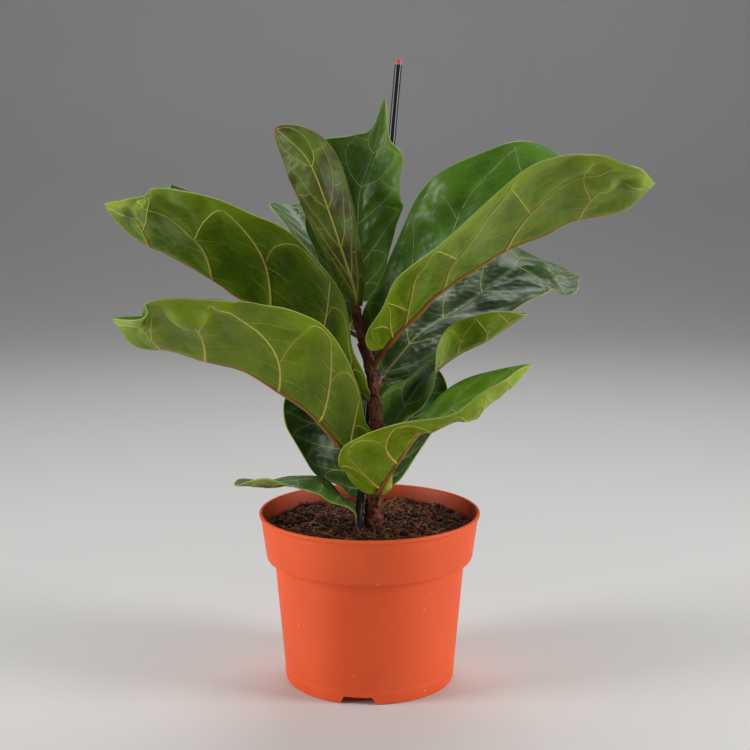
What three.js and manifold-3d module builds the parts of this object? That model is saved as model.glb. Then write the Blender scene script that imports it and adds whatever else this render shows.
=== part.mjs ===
// Potted fiddle leaf fig: a nursery pot filled with peat, a woody stem, a support stake,
// papery stipules, an end bud and twelve leaves. Each leaf is one body with its petiole.
// Millimetres, +Z up. The origin is the centre of the pot's underside and -Y is the front.
import * as THREE from 'three';
import Module from 'manifold-3d';

const wasm = await Module();
wasm.setup();
const { Manifold, Mesh: Solid } = wasm;

// ---- driving dimensions ----
const PLANT_SCALE = 1;          // size of stem path, stake path and leaves about the soil centre
const GAP = 0.3;                // clearance between neighbouring bodies
const POT = {
  height: 93.4, rimRadius: 60, wall: 1.2,
  baseRadius: 46.1, shoulderRadius: 51.7, shoulderHeight: 66.8,
  collarRadius: 56.3, collarHeight: 69.8, floor: 2,
  grooves: 3, grooveHeight: 4.3, grooveTop: 15, grooveFoot: 19.5, grooveStart: 26,
  firstGroove: -97.7,           // degrees from +X, just left of the front
  drainRadius: 3,
};
const SOIL = { drop: 8.4, mound: 1.2 };
const STEM = { radius: 3.7, flare: 1.2, tipRadius: 1.9, buried: 18, swelling: 0.5 };
const STAKE = { radius: 2, buried: 60, foot: [-6.5, -13, 0], top: [16, 37, 250] };
const LEAF = { thickness: 1, petioleRadius: 1.7, ribEnd: 0.5 };

const SOIL_TOP = POT.height - SOIL.drop;
const STEM_PATH = [[2, -7, 0], [3.4, -8, 30], [3.4, -8, 60], [1, -3.5, 85], [-3, -1, 102], [-8, 0, 121]];

// Leaves from the lowest node upward. `node` is the height of the attachment above the soil,
// `spine` the midrib's course from the soil centre, and left and right (seen from the petiole
// towards the tip) each fold up by `lift` degrees and curl by `curl` more out to the margin.
const LEAVES = [
  { name: 'leaf_bottom_left', node: 6, petiole: 6, side: [-1, 0.5],
    spine: [[-7, -4, 9], [-19, -11, 22], [-33, -21, 30], [-51, -31, 30], [-70, -38, 32]],
    right: { width: 23, lift: [25, 25, 0, -10, -5, 5], lobe: 0.6, waist: 1.1 },
    left: { width: 26, lift: [-20, -25, -25, 0, 20, 45], point: 0.6 } },
  { name: 'leaf_low_left_back', node: 12, petiole: 9, side: [-0.6, 1], up: [0, -1, 0.5],
    spine: [[-6, 6, 23], [-14, 14, 38], [-26, 20, 66], [-32, 21, 83]],
    right: { width: 26, lift: [10], lobe: 0.6 },
    left: { width: 30, lift: [10, 10, 30, 35, 35, 20], lobe: 0.65, waist: 1.1 } },
  { name: 'leaf_low_right', node: 15, petiole: 12, side: [0.3, -1],
    spine: [[5, -20, 24], [17, -27, 46], [28, -28, 59], [50, -30, 75], [75, -34, 88], [83, -36, 95]],
    right: { width: 36, lift: [58, 66, -10, -60, -60, -45], curl: [0, 10, 70, 120, 130, 100],
      lobe: 1.45, waist: 1.15, back: 1.6 },
    left: { width: 24, lift: [20, 20, 15, 20, 15, 15] } },
  { name: 'leaf_low_right_back', node: 19, petiole: 9, side: [1, 1], up: [0, -1, 0.5],
    spine: [[9, 3, 25], [17, 16, 39], [28, 30, 66], [33, 36, 84]],
    right: { width: 20, lift: [40] },
    left: { width: 22, lift: [10], lobe: 0.7 } },
  { name: 'leaf_lower_left', node: 33, petiole: 7, side: [-1, -1],
    spine: [[-5, -13, 37], [-29, -24, 66], [-59, -36, 89], [-96, -42, 102], [-119, -43, 107],
      [-129, -42, 120]],
    right: { width: 48, lift: [60, 60, 52, 40, 28, 25], lobe: 0.7, point: 1.1 },
    left: { width: 54, lift: [70, 70, 66, 50, 40, 30], lobe: 0.7, point: 1.3, wave: 2 } },
  { name: 'leaf_right_middle', node: 45, petiole: 6, side: [1, 0.2],
    spine: [[9, -6, 49], [22, 3, 70], [40, 4, 89], [62, 0, 102], [84, -5, 117]],
    right: { width: 20, lift: [0, -28, -10, 60, 60, 50], lobe: 0.6 },
    left: { width: 28, lift: [30, 20, 10, 10, 10, 10], waist: 1.15 } },
  { name: 'leaf_upper_left', node: 71, petiole: 8, side: [-1, -0.5],
    spine: [[-6, -8, 76], [-35, -14, 104], [-68, -18, 129], [-103, -22, 150], [-125, -22, 162],
      [-135, -21, 176]],
    right: { width: 54, lift: [45, 45, 42, 38, 40, 60], lobe: 0.5, point: 1.2 },
    left: { width: 56, lift: [30, 80, 75, 50, 45, 45], lobe: 0.6 } },
  { name: 'leaf_right_back', node: 77, petiole: 8, side: [1, 0.5],
    spine: [[9, 6, 83], [29, 25, 102], [57, 41, 118], [88, 52, 137], [104, 57, 133], [120, 59, 130]],
    right: { width: 35, lift: [0, -8, -12, -30, -50, -30], curl: [0, 0, 0, 30, 50, 35], point: 1.7 },
    left: { width: 35, lift: [50, 35, 25, 22, 16, 7] } },
  { name: 'leaf_upper_right', node: 87, petiole: 16, side: [1, -0.4],
    spine: [[8, -9, 99], [34, -20, 128], [67, -31, 152], [105, -42, 169], [129, -46, 176],
      [141, -44, 187]],
    right: { width: 54, lift: [32, 26, 19, 31, 43, 35], lobe: 0.78, waist: 1.22, point: 1.4 },
    left: { width: 56, lift: [86, 77, 84, 73, 20, 29], lobe: 0.93, waist: 1.24, back: 1.85 } },
  { name: 'leaf_back_left', node: 103, petiole: 8, side: [-1, 1],
    spine: [[-11, 8, 107], [-18, 28, 128], [-26, 46, 144], [-37, 64, 157], [-49, 84, 169]],
    right: { width: 28, lift: [25], lobe: 0.5 },
    left: { width: 28, lift: [38, 34, 28], lobe: 0.7 } },
  { name: 'leaf_top', node: 118, petiole: 8, side: [0, 1], up: [0, -1, 0.2], acumen: 0.16,
    spine: [[-7, 9, 127], [-6, 11, 154], [-5, 12, 180], [3, 7, 204], [8, -1, 230]],
    right: { width: 30, lift: [8, 16, 30, 44, 50, 50], waist: 0.95, point: 1.4, wave: 2 },
    left: { width: 31, lift: [10, 10, 10, 5, 5, 20], waist: 1.2, point: 0.75 } },
  { name: 'leaf_young', node: 118, petiole: 6, side: [0, -1], up: [0, 1, 0.2],
    spine: [[-7, -8, 126], [-14, -12, 150], [-22, -12, 174], [-32, -10, 198], [-49, -2, 214]],
    right: { width: 15, lift: [40, 10, 15, 25, 15, 25] },
    left: { width: 18, lift: [80, 40, 40, 45, 50, 45] } },
];

// Papery stipules hug the stem: height of the foot, direction in degrees, length and width.
const STIPULES = [
  { name: 'stipule_low', z: 60, turn: -80, length: 15, span: 60 },
  { name: 'stipule_middle', z: 88, turn: -150, length: 13, span: 55 },
  { name: 'stipule_upper', z: 104, turn: -125, length: 13, span: 55 },
];

// ---- materials ----
const paint = (color, roughness) => new THREE.MeshStandardMaterial({ color, roughness });
const MATERIALS = {
  pot: paint(0xe06a42, 0.55),
  soil: paint(0x3a2418, 0.95),
  bark: paint(0x6d3f2a, 0.85),
  stake: paint(0x15161a, 0.3),
  leaf: paint(0x4e7a26, 0.4),
  scale: paint(0x9a6a48, 0.8),
};

// ---- shared helpers ----
const V = (p) => new THREE.Vector3(...p);
const plantPoint = ([x, y, z]) => new THREE.Vector3(
  x * PLANT_SCALE, y * PLANT_SCALE, SOIL_TOP + z * PLANT_SCALE);
const course = (points) => new THREE.CatmullRomCurve3(points, false, 'centripetal');

function makeSolid(points, triangles) {
  const mesh = new Solid({
    numProp: 3,
    vertProperties: new Float32Array(points.flatMap((p) => [p.x, p.y, p.z])),
    triVerts: new Uint32Array(triangles.flat()),
  });
  mesh.merge();
  return new Manifold(mesh);
}

function toMesh(name, solid, material) {
  const data = solid.getMesh();
  const geometry = new THREE.BufferGeometry();
  geometry.setAttribute('position', new THREE.BufferAttribute(data.vertProperties, 3));
  geometry.setIndex(new THREE.BufferAttribute(data.triVerts, 1));
  geometry.computeVertexNormals();
  const mesh = new THREE.Mesh(geometry, material);
  mesh.name = name;
  return mesh;
}

// The largest connected body of a solid, without the crumbs and slivers that a cut leaves.
const mainBody = (solid) => solid.decompose().sort((a, b) => b.volume() - a.volume())[0]
  .simplify(0.08);

// Solid of revolution about +Z from [radius, height] pairs that start and end on the axis.
function turned(profile, sides) {
  const points = [];
  const triangles = [];
  const rows = profile.slice(1, -1);
  points.push(V([0, 0, profile[0][1]]));
  for (const [r, z] of rows) {
    for (let k = 0; k < sides; k += 1) {
      const t = (2 * Math.PI * k) / sides;
      points.push(V([r * Math.cos(t), r * Math.sin(t), z]));
    }
  }
  points.push(V([0, 0, profile.at(-1)[1]]));
  const last = points.length - 1;
  const at = (row, k) => 1 + row * sides + (k % sides);
  for (let k = 0; k < sides; k += 1) {
    triangles.push([0, at(0, k + 1), at(0, k)]);
    for (let row = 0; row < rows.length - 1; row += 1) {
      triangles.push([at(row, k), at(row, k + 1), at(row + 1, k + 1)]);
      triangles.push([at(row, k), at(row + 1, k + 1), at(row + 1, k)]);
    }
    triangles.push([last, at(rows.length - 1, k), at(rows.length - 1, k + 1)]);
  }
  return makeSolid(points, triangles);
}

// Round rod whose radius is given along a curve, with flat ends.
function rod(curve, radiusAt, rings, sides) {
  const points = [];
  const triangles = [];
  let across = new THREE.Vector3(1, 0, 0);
  for (let i = 0; i <= rings; i += 1) {
    const t = i / rings;
    const along = curve.getTangentAt(t);
    across = across.clone().addScaledVector(along, -across.dot(along)).normalize();
    const other = along.clone().cross(across);
    for (let k = 0; k < sides; k += 1) {
      const a = (2 * Math.PI * k) / sides;
      points.push(curve.getPointAt(t)
        .addScaledVector(across, radiusAt(t) * Math.cos(a))
        .addScaledVector(other, radiusAt(t) * Math.sin(a)));
    }
  }
  points.push(curve.getPointAt(0), curve.getPointAt(1));
  const at = (row, k) => row * sides + (k % sides);
  for (let k = 0; k < sides; k += 1) {
    triangles.push([points.length - 2, at(0, k + 1), at(0, k)]);
    for (let row = 0; row < rings; row += 1) {
      triangles.push([at(row, k), at(row, k + 1), at(row + 1, k + 1)]);
      triangles.push([at(row, k), at(row + 1, k + 1), at(row + 1, k)]);
    }
    triangles.push([points.length - 1, at(rings, k), at(rings, k + 1)]);
  }
  return makeSolid(points, triangles);
}

// ---- pot: thin moulded wall, collar, rim bead and a grooved underside ----
function potParts() {
  const p = POT;
  const slope = (p.rimRadius - 0.8 - p.collarRadius) / (p.height - 1.8 - p.collarHeight);
  const innerCollar = (z) => p.collarRadius + slope * (z - p.collarHeight) - p.wall;
  const body = (p.shoulderRadius - p.baseRadius) / p.shoulderHeight;
  const innerBody = (z) => p.baseRadius + body * z - p.wall;
  const shell = turned([
    [0, 0], [p.baseRadius - 1.4, 0], [p.baseRadius - 0.3, 0.5], [p.baseRadius + 0.1, 1.6],
    [p.shoulderRadius, p.shoulderHeight],
    [p.shoulderRadius + 0.5, p.shoulderHeight + 1], [p.collarRadius - 1.6, p.collarHeight - 1.6],
    [p.collarRadius - 0.4, p.collarHeight - 0.9], [p.collarRadius, p.collarHeight],
    [p.rimRadius - 0.8, p.height - 1.8], [p.rimRadius, p.height - 1.3], [p.rimRadius, p.height - 0.4],
    [p.rimRadius - 0.5, p.height], [p.rimRadius - 1.2, p.height], [p.rimRadius - 1.7, p.height - 0.5],
    [innerCollar(p.height - 2), p.height - 2],
    [innerCollar(p.collarHeight + 1.5), p.collarHeight + 1.5],
    [p.collarRadius - 2.6, p.collarHeight + 0.2], [innerBody(p.shoulderHeight) + 0.3, p.shoulderHeight + 1.2],
    [innerBody(p.shoulderHeight - 1), p.shoulderHeight - 1],
    [innerBody(p.floor + 1), p.floor + 1], [innerBody(p.floor) - 1, p.floor], [0, p.floor],
  ], 48);
  const turns = Array.from({ length: p.grooves }, (_, k) => [0, 0, p.firstGroove + (360 / p.grooves) * k]);
  // One radial bar of trapezoid section per groove, `wider` all round than the groove itself.
  const bars = (wider) => Manifold.union(turns.map((turn) => {
    const [foot, top, high] = [p.grooveFoot / 2 + 0.6 + wider, p.grooveTop / 2 + wider, p.grooveHeight + wider];
    return new wasm.CrossSection([[[-foot, -1], [foot, -1], [top, high], [-top, high]]])
      .extrude(p.baseRadius - p.grooveStart + 12)
      .rotate([90, 0, 90]).translate([p.grooveStart - wider, 0, 0]).rotate(turn);
  }));
  const cut = [bars(0)];
  for (const turn of turns) {
    for (const [r, offset] of [[p.grooveStart + 7, -4], [p.grooveStart + 7, 4], [p.grooveStart + 14, 0]]) {
      cut.push(Manifold.cylinder(20, p.drainRadius * 0.8, p.drainRadius * 0.8, 20)
        .translate([r, offset, -2]).rotate(turn));
    }
  }
  // The covers stay inside the pot's wall and never reach below its underside.
  const inside = turned([
    [0, 0.5], [innerBody(0) + 0.5, 0.5], [innerBody(12) + 0.5, 12], [0, 12],
  ], 48);
  const pot = mainBody(shell.add(bars(1.4).intersect(inside)).subtract(Manifold.union(cut)));
  return { pot, ducts: bars(1.4 + GAP), innerCollar, innerBody };
}

// ---- soil: one root ball that fills the pot, with holes for the stem and the stake ----
function soilSolid({ ducts, innerCollar, innerBody }, stemHole, stakeHole) {
  const p = POT;
  const edge = innerCollar(SOIL_TOP) - GAP - 0.2;
  const profile = [
    [0, p.floor + GAP], [innerBody(p.floor) - 1.6, p.floor + GAP],
    [innerBody(p.floor + 2) - GAP - 0.1, p.floor + 2],
    [innerBody(p.shoulderHeight - 2) - GAP - 0.1, p.shoulderHeight - 2],
    [innerBody(p.shoulderHeight) - GAP - 0.6, p.shoulderHeight + 1.6],
    [p.collarRadius - 2.6 - GAP - 0.5, p.collarHeight + 1],
    [innerCollar(p.collarHeight + 2.5) - GAP - 0.2, p.collarHeight + 2.5],
    [edge, SOIL_TOP - 1.4], [edge - 1.5, SOIL_TOP - 0.6],
    [edge * 0.72, SOIL_TOP + SOIL.mound * 0.2], [edge * 0.4, SOIL_TOP + SOIL.mound * 0.8],
    [0, SOIL_TOP + SOIL.mound],
  ];
  const ball = turned(profile, 48);
  const stemSocket = stemHole.add(stemHole.translate([0, 0, -GAP]));
  return mainBody(ball.subtract(ducts).subtract(stemSocket).subtract(stakeHole));
}

// ---- stem: a leaning woody rod, flared at the soil, slightly swollen at every node ----
const stemCurve = course([
  plantPoint([STEM_PATH[0][0], STEM_PATH[0][1], 0]).setZ(SOIL_TOP - STEM.buried),
  ...STEM_PATH.map(plantPoint),
]);
const stemTopZ = plantPoint(STEM_PATH.at(-1)).z;

function stemRadius(z) {
  const h = (z - SOIL_TOP) / (stemTopZ - SOIL_TOP);
  const taper = STEM.radius + (STEM.tipRadius - STEM.radius) * Math.max(0, h) ** 1.6;
  const flare = STEM.flare * Math.exp(-Math.max(0, h) * 14);
  const nodes = LEAVES.reduce((sum, leaf) => {
    const d = (z - plantPoint([0, 0, leaf.node]).z) / 2.5;
    return Math.max(sum, Math.exp(-d * d));
  }, 0);
  return taper + flare + STEM.swelling * nodes;
}

const stemSolid = (grow) => rod(
  stemCurve, (t) => stemRadius(stemCurve.getPointAt(t).z) + grow, 36, 10);

function stemAxisAt(z) {
  let [low, high] = [0, 1];
  for (let i = 0; i < 30; i += 1) {
    const mid = (low + high) / 2;
    if (stemCurve.getPointAt(mid).z < z) low = mid; else high = mid;
  }
  return stemCurve.getPointAt(low);
}

// ---- stake: a straight round rod pushed in beside the stem, rounded at its top ----
function stakeSolid(grow) {
  const foot = plantPoint(STAKE.foot);
  const top = plantPoint(STAKE.top);
  const along = top.clone().sub(foot).normalize();
  const start = foot.clone().addScaledVector(along, -STAKE.buried - grow);
  const line = new THREE.LineCurve3(start, top.clone().addScaledVector(along, grow));
  const length = line.getLength();
  const profile = (t) => {
    const end = Math.min(t, 1 - t) * length;
    return STAKE.radius + grow - (end < 0.6 ? 0.5 : 0);
  };
  const stops = [0, 0.7 / length, 1 - 0.7 / length, 1];
  const stepped = {
    getPointAt: (t) => line.getPoint(stops[Math.round(t * 3)]),
    getTangentAt: () => along.clone(),
  };
  return rod(stepped, (t) => profile(stops[Math.round(t * 3)]), 3, 20);
}

// ---- leaves ----
// Flat outline of half a fiddle-shaped blade: [share of length, share of half width].
const OUTLINE = [
  [0, 0], [-0.03, 0.2], [0.02, 0.42], [0.12, 0.52], [0.25, 0.6], [0.4, 0.76],
  [0.56, 0.94], [0.7, 1], [0.83, 0.86], [0.93, 0.54], [0.98, 0.2], [1, 0],
];
const SQUASH = 0.4;             // evens out the spacing of stations along the outline

function outlineCurve({ lobe = 1, back = 1, waist = 1, point = 1 }, acumen) {
  const knots = OUTLINE.map(([a, b]) => [a, b]);
  knots[1] = [-0.03 * back, 0.2 * lobe];
  knots[2] = [0.02 - 0.05 * (back - 1), 0.42 * lobe];
  knots[3][1] *= lobe * Math.sqrt(waist);
  for (const i of [4, 5]) knots[i][1] *= waist;
  for (const i of [9, 10]) knots[i][1] *= point;
  knots.forEach((k, i) => { if (i < knots.length - 1) k[0] *= 1 - acumen; });
  return course(knots.map(([a, b]) => V([a, b * SQUASH, 0])));
}

// Smooth value at share t of a list of evenly spaced values.
function stationed(values, t) {
  if (values.length === 1) return values[0];
  const n = values.length - 1;
  const x = Math.min(Math.max(t, 0), 1) * n;
  const i = Math.min(Math.floor(x), n - 1);
  const f = x - i;
  const get = (k) => (k < 0 ? 2 * values[0] - values[1]
    : k > n ? 2 * values[n] - values[n - 1] : values[k]);
  const [p0, p1, p2, p3] = [i - 1, i, i + 1, i + 2].map(get);
  return 0.5 * (2 * p1 + (p2 - p0) * f + (2 * p0 - 5 * p1 + 4 * p2 - p3) * f * f
    + (3 * p1 - p0 - 3 * p2 + p3) * f * f * f);
}

// Frame of the blade at share a of its length: point on the midrib, tangent, side and normal.
function bladeFrame(leaf, a) {
  const { curve, length } = leaf;
  const petiole = leaf.petiole * PLANT_SCALE;
  const blade = length - petiole;
  const t = (petiole + Math.min(Math.max(a, 0), 1) * blade) / length;
  const along = curve.getTangentAt(t);
  const origin = curve.getPointAt(t);
  if (a < 0) origin.addScaledVector(along, a * blade);
  const side = along.clone().cross(V(leaf.up ?? [0, 0, 1])).normalize();
  return { origin, along, side, normal: side.clone().cross(along) };
}

// Point of the blade: u runs round the margin from base to tip, v from -1 (left) to 1 (right).
function bladePoint(leaf, u, v) {
  const half = v < 0 ? leaf.left : leaf.right;
  const edge = (v < 0 ? leaf.leftEdge : leaf.rightEdge).getPointAt(u);
  const out = Math.abs(v);
  const core = u ** 1.15;
  const a = core + (edge.x - core) * out;
  const width = (edge.y / SQUASH) * out * half.width * PLANT_SCALE;
  const lift = stationed(half.lift, a);
  const curl = stationed(half.curl ?? [0], a);
  const steps = 8;
  let [x, z] = [0, 0];
  for (let k = 0; k < steps; k += 1) {
    const angle = THREE.MathUtils.degToRad(lift + curl * out * ((k + 0.5) / steps));
    x += (Math.cos(angle) * width) / steps;
    z += (Math.sin(angle) * width) / steps;
  }
  z += (half.wave ?? 0) * out * out * Math.sin(2 * Math.PI * (2.2 * a + 0.3))
    * Math.min(1, (3 * edge.y * out) / SQUASH);
  const frame = bladeFrame(leaf, a);
  return frame.origin.addScaledVector(frame.side, Math.sign(v) * x)
    .addScaledVector(frame.normal, z);
}

// Thin closed blade: the surface is offset both ways by half the thickness and rimmed.
function bladeSolid(leaf, along, across) {
  const columns = 2 * across + 1;
  const points = [bladePoint(leaf, 0, 0)];
  for (let i = 1; i < along; i += 1) {
    for (let j = -across; j <= across; j += 1) points.push(bladePoint(leaf, i / along, j / across));
  }
  points.push(bladePoint(leaf, 1, 0));
  const last = points.length - 1;
  const at = (i, j) => 1 + (i - 1) * columns + j;
  const faces = [];
  for (let j = 0; j < columns - 1; j += 1) {
    faces.push([0, at(1, j + 1), at(1, j)]);
    for (let i = 1; i < along - 1; i += 1) {
      faces.push([at(i, j), at(i, j + 1), at(i + 1, j + 1)], [at(i, j), at(i + 1, j + 1), at(i + 1, j)]);
    }
    faces.push([last, at(along - 1, j), at(along - 1, j + 1)]);
  }
  const normals = points.map(() => new THREE.Vector3());
  for (const [a, b, c] of faces) {
    const n = points[b].clone().sub(points[a]).cross(points[c].clone().sub(points[a]));
    for (const k of [a, b, c]) normals[k].add(n);
  }
  const shift = (sign) => points.map((p, k) => p.clone()
    .addScaledVector(normals[k].clone().normalize(), (sign * LEAF.thickness) / 2));
  const count = points.length;
  const triangles = [...faces, ...faces.map(([a, b, c]) => [a + count, c + count, b + count])];
  const rim = [0];
  for (let i = 1; i < along; i += 1) rim.push(at(i, 0));
  rim.push(last);
  for (let i = along - 1; i > 0; i -= 1) rim.push(at(i, columns - 1));
  rim.forEach((a, k) => {
    const b = rim[(k + 1) % rim.length];
    triangles.push([a, b, b + count], [a, b + count, a + count]);
  });
  return makeSolid([...shift(1), ...shift(-1)], triangles);
}

// Petiole and midrib: one tapering rod that sinks below the blade towards the tip.
function ribSolid(leaf) {
  const petioleShare = (leaf.petiole * PLANT_SCALE) / leaf.length;
  const reach = 0.93;
  const radiusAt = (t) => {
    const a = Math.max(0, (t * reach - petioleShare) / (1 - petioleShare));
    return LEAF.petioleRadius + (LEAF.ribEnd - LEAF.petioleRadius) * a ** 0.7;
  };
  const sunken = {
    getTangentAt: (t) => leaf.curve.getTangentAt(t * reach),
    getPointAt: (t) => {
      const a = Math.max(0, (t * reach - petioleShare) / (1 - petioleShare));
      const { normal } = bladeFrame(leaf, a);
      return leaf.curve.getPointAt(t * reach).addScaledVector(normal, -0.4 * radiusAt(t));
    },
  };
  return rod(sunken, radiusAt, 9, 5);
}

function leafSolid(leaf, stemHole, stakeHole) {
  const foot = stemAxisAt(plantPoint([0, 0, leaf.node]).z);
  const out = new THREE.Vector3(...leaf.side, 0).normalize();
  foot.addScaledVector(out, stemRadius(foot.z) - 0.8);
  leaf.curve = course([foot, ...leaf.spine.map(plantPoint)]);
  leaf.length = leaf.curve.getLength();
  leaf.leftEdge = outlineCurve(leaf.left, leaf.acumen ?? 0);
  leaf.rightEdge = outlineCurve(leaf.right, leaf.acumen ?? 0);
  const whole = bladeSolid(leaf, 14, 3).add(ribSolid(leaf));
  return mainBody(whole.subtract(stemHole).subtract(stakeHole));
}

// ---- stipules: thin pointed scales that stand off the stem towards their tips ----
function stipuleSolid({ z, turn, length, span }) {
  const rows = 6;
  const columns = 5;
  const points = [];
  for (const depth of [0, 0.5]) {
    for (let i = 0; i <= rows; i += 1) {
      const t = i / rows;
      const height = plantPoint([0, 0, z + length * t]).z;
      const axis = stemAxisAt(height);
      const width = span * (1 - t ** 1.6) + 4;
      for (let j = 0; j < columns; j += 1) {
        const a = THREE.MathUtils.degToRad(turn + width * (j / (columns - 1) - 0.5) * 2);
        const r = stemRadius(height) + GAP + 0.2 + STEM.swelling + 2.2 * t * t + depth;
        points.push(axis.clone().add(V([r * Math.cos(a), r * Math.sin(a), 0])).setZ(height));
      }
    }
  }
  const layer = (rows + 1) * columns;
  const at = (i, j) => i * columns + j;
  const triangles = [];
  const quad = (a, b, c, d) => triangles.push([a, b, c], [a, c, d]);
  for (let i = 0; i < rows; i += 1) {
    for (let j = 0; j < columns - 1; j += 1) {
      quad(at(i, j) + layer, at(i, j + 1) + layer, at(i + 1, j + 1) + layer, at(i + 1, j) + layer);
      quad(at(i, j), at(i + 1, j), at(i + 1, j + 1), at(i, j + 1));
    }
    quad(at(i, 0), at(i, 0) + layer, at(i + 1, 0) + layer, at(i + 1, 0));
    quad(at(i, columns - 1), at(i + 1, columns - 1), at(i + 1, columns - 1) + layer,
      at(i, columns - 1) + layer);
  }
  for (let j = 0; j < columns - 1; j += 1) {
    quad(at(0, j), at(0, j + 1), at(0, j + 1) + layer, at(0, j) + layer);
    quad(at(rows, j), at(rows, j) + layer, at(rows, j + 1) + layer, at(rows, j + 1));
  }
  return makeSolid(points, triangles);
}

// ---- end bud: a slender pointed sheath on the stem's tip ----
function budSolid() {
  const tip = stemCurve.getPointAt(1);
  const along = stemCurve.getTangentAt(1);
  const curve = new THREE.LineCurve3(
    tip.clone().addScaledVector(along, GAP), tip.clone().addScaledVector(along, GAP + 9));
  return rod(curve, (t) => 0.25 + 1.5 * (1 - t) ** 0.7 * (0.8 + 0.6 * t), 6, 10);
}

// ---- assembly ----
const parts = potParts();
const stemHole = stemSolid(GAP);
const stakeHole = stakeSolid(GAP);
const plant = new THREE.Group();
plant.name = 'potted_fiddle_leaf_fig';
plant.add(toMesh('pot', parts.pot, MATERIALS.pot));
plant.add(toMesh('soil', soilSolid(parts, stemHole, stakeHole), MATERIALS.soil));
plant.add(toMesh('stem', stemSolid(0), MATERIALS.bark));
plant.add(toMesh('stake', stakeSolid(0), MATERIALS.stake));
for (const leaf of LEAVES) {
  plant.add(toMesh(leaf.name, leafSolid(leaf, stemHole, stakeHole), MATERIALS.leaf));
}
for (const stipule of STIPULES) {
  plant.add(toMesh(stipule.name, stipuleSolid(stipule), MATERIALS.scale));
}
plant.add(toMesh('end_bud', budSolid(), MATERIALS.scale));

export default plant;
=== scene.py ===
import math

import bpy
import numpy as np
from mathutils import Matrix


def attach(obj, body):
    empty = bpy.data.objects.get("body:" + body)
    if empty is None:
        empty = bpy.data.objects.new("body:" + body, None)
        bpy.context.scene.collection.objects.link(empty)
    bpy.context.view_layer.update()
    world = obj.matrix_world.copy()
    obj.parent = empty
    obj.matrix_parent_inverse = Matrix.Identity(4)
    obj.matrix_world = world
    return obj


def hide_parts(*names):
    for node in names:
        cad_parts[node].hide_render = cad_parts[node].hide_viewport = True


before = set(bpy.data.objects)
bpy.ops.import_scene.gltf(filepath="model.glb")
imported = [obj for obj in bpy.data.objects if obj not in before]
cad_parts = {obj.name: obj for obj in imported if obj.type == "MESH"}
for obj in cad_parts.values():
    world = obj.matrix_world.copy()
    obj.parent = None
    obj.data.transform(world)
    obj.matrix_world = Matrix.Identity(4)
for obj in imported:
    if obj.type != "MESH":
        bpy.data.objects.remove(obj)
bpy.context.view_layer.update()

# ---- Pot ----
# A round nursery pot, injection moulded in matt terracotta-coloured polypropylene about 1.2 mm thick.
# The body tapers, steps out into a collar and ends in a small rim bead. Three grooves under the foot,
# with drain holes in their roofs, let water out at the sides.
MM = 0.001
pot_height, rim_radius, base_radius = 93.4, 60.0, 46.1
shoulder_radius, shoulder_height = 51.7, 66.8
collar_radius, collar_height, wall = 56.3, 69.8, 1.2
groove_foot, groove_top, groove_height, first_groove = 20.7, 15.0, 4.3, -97.7
drain_radius, drain_holes = 2.4, ((33, -4), (33, 4), (40, 0))


def softened(corners, radius, steps=5):
    """Each corner of an open polyline is replaced by a short arc: a quadratic curve that starts and ends
    the given radius away from the corner, or less where the sides are short."""
    p = np.asarray(corners, float)
    out = [p[:1]]
    for before, corner, after in zip(p[:-2], p[1:-1], p[2:]):
        a, b = before - corner, after - corner
        la, lb = np.linalg.norm(a), np.linalg.norm(b)
        start = corner + a / la * min(radius, la * 0.45)
        end = corner + b / lb * min(radius, lb * 0.45)
        t = np.linspace(0, 1, steps)[:, None]
        out.append((1 - t) ** 2 * start + 2 * t * (1 - t) * corner + t ** 2 * end)
    return np.vstack(out + [p[-1:]])


def grid_quads(rows, columns, wrap=False, first=0):
    """Corner numbers of the quads of a grid whose points are stored row after row. With wrap the last
    column joins the first."""
    i = np.arange(rows - 1)[:, None]
    j = np.arange(columns if wrap else columns - 1)[None, :]
    k = (j + 1) % columns
    quads = np.stack([i * columns + j, i * columns + k, (i + 1) * columns + k, (i + 1) * columns + j], -1)
    return quads.reshape(-1, 4) + first


def new_piece(name, points, faces, materials, numbers=None, values=None, flat=None, sharp=None):
    """Puts whole arrays into a mesh object at the origin. points are in mm, faces is a list of arrays of
    corner numbers, numbers gives a material number for each face, values maps attribute names to one
    number per point, flat gives one UV pair per point, sharp is the angle in degrees above which an
    edge stays crisp."""
    mesh = bpy.data.meshes.new(name)
    loops = np.concatenate([f.ravel() for f in faces]).astype(np.int32)
    sizes = np.concatenate([np.full(len(f), f.shape[1]) for f in faces])
    mesh.vertices.add(len(points))
    mesh.vertices.foreach_set("co", (np.asarray(points, float) * MM).astype(np.float32).ravel())
    mesh.loops.add(len(loops))
    mesh.loops.foreach_set("vertex_index", loops)
    mesh.polygons.add(len(sizes))
    mesh.polygons.foreach_set("loop_start", np.concatenate([[0], np.cumsum(sizes)[:-1]]).astype(np.int32))
    if numbers is not None:
        mesh.polygons.foreach_set("material_index", np.asarray(numbers, np.int32))
    for key, value in (values or {}).items():
        mesh.attributes.new(key, "FLOAT", "POINT").data.foreach_set("value", np.asarray(value, np.float32))
    if flat is not None:
        uv = mesh.uv_layers.new(name="flat")
        uv.data.foreach_set("uv", np.asarray(flat, np.float32)[loops].ravel())
    mesh.update(calc_edges=True)
    mesh.shade_smooth()
    if sharp is not None:
        mesh.set_sharp_from_angle(angle=math.radians(sharp))
    for material in materials:
        mesh.materials.append(material)
    piece = bpy.data.objects.new(name, mesh)
    bpy.context.scene.collection.objects.link(piece)
    return piece


def stands_for(piece, slot, *nodes):
    """The piece moves with the object's one body and hides the nodes it stands for."""
    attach(piece, "root")
    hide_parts(*nodes)


def polar(radius, angle, height):
    """Points at a distance from the Z axis, an angle round it and a height. The three are broadcast."""
    return np.stack(np.broadcast_arrays(radius * np.cos(angle), radius * np.sin(angle), height), -1)


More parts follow.
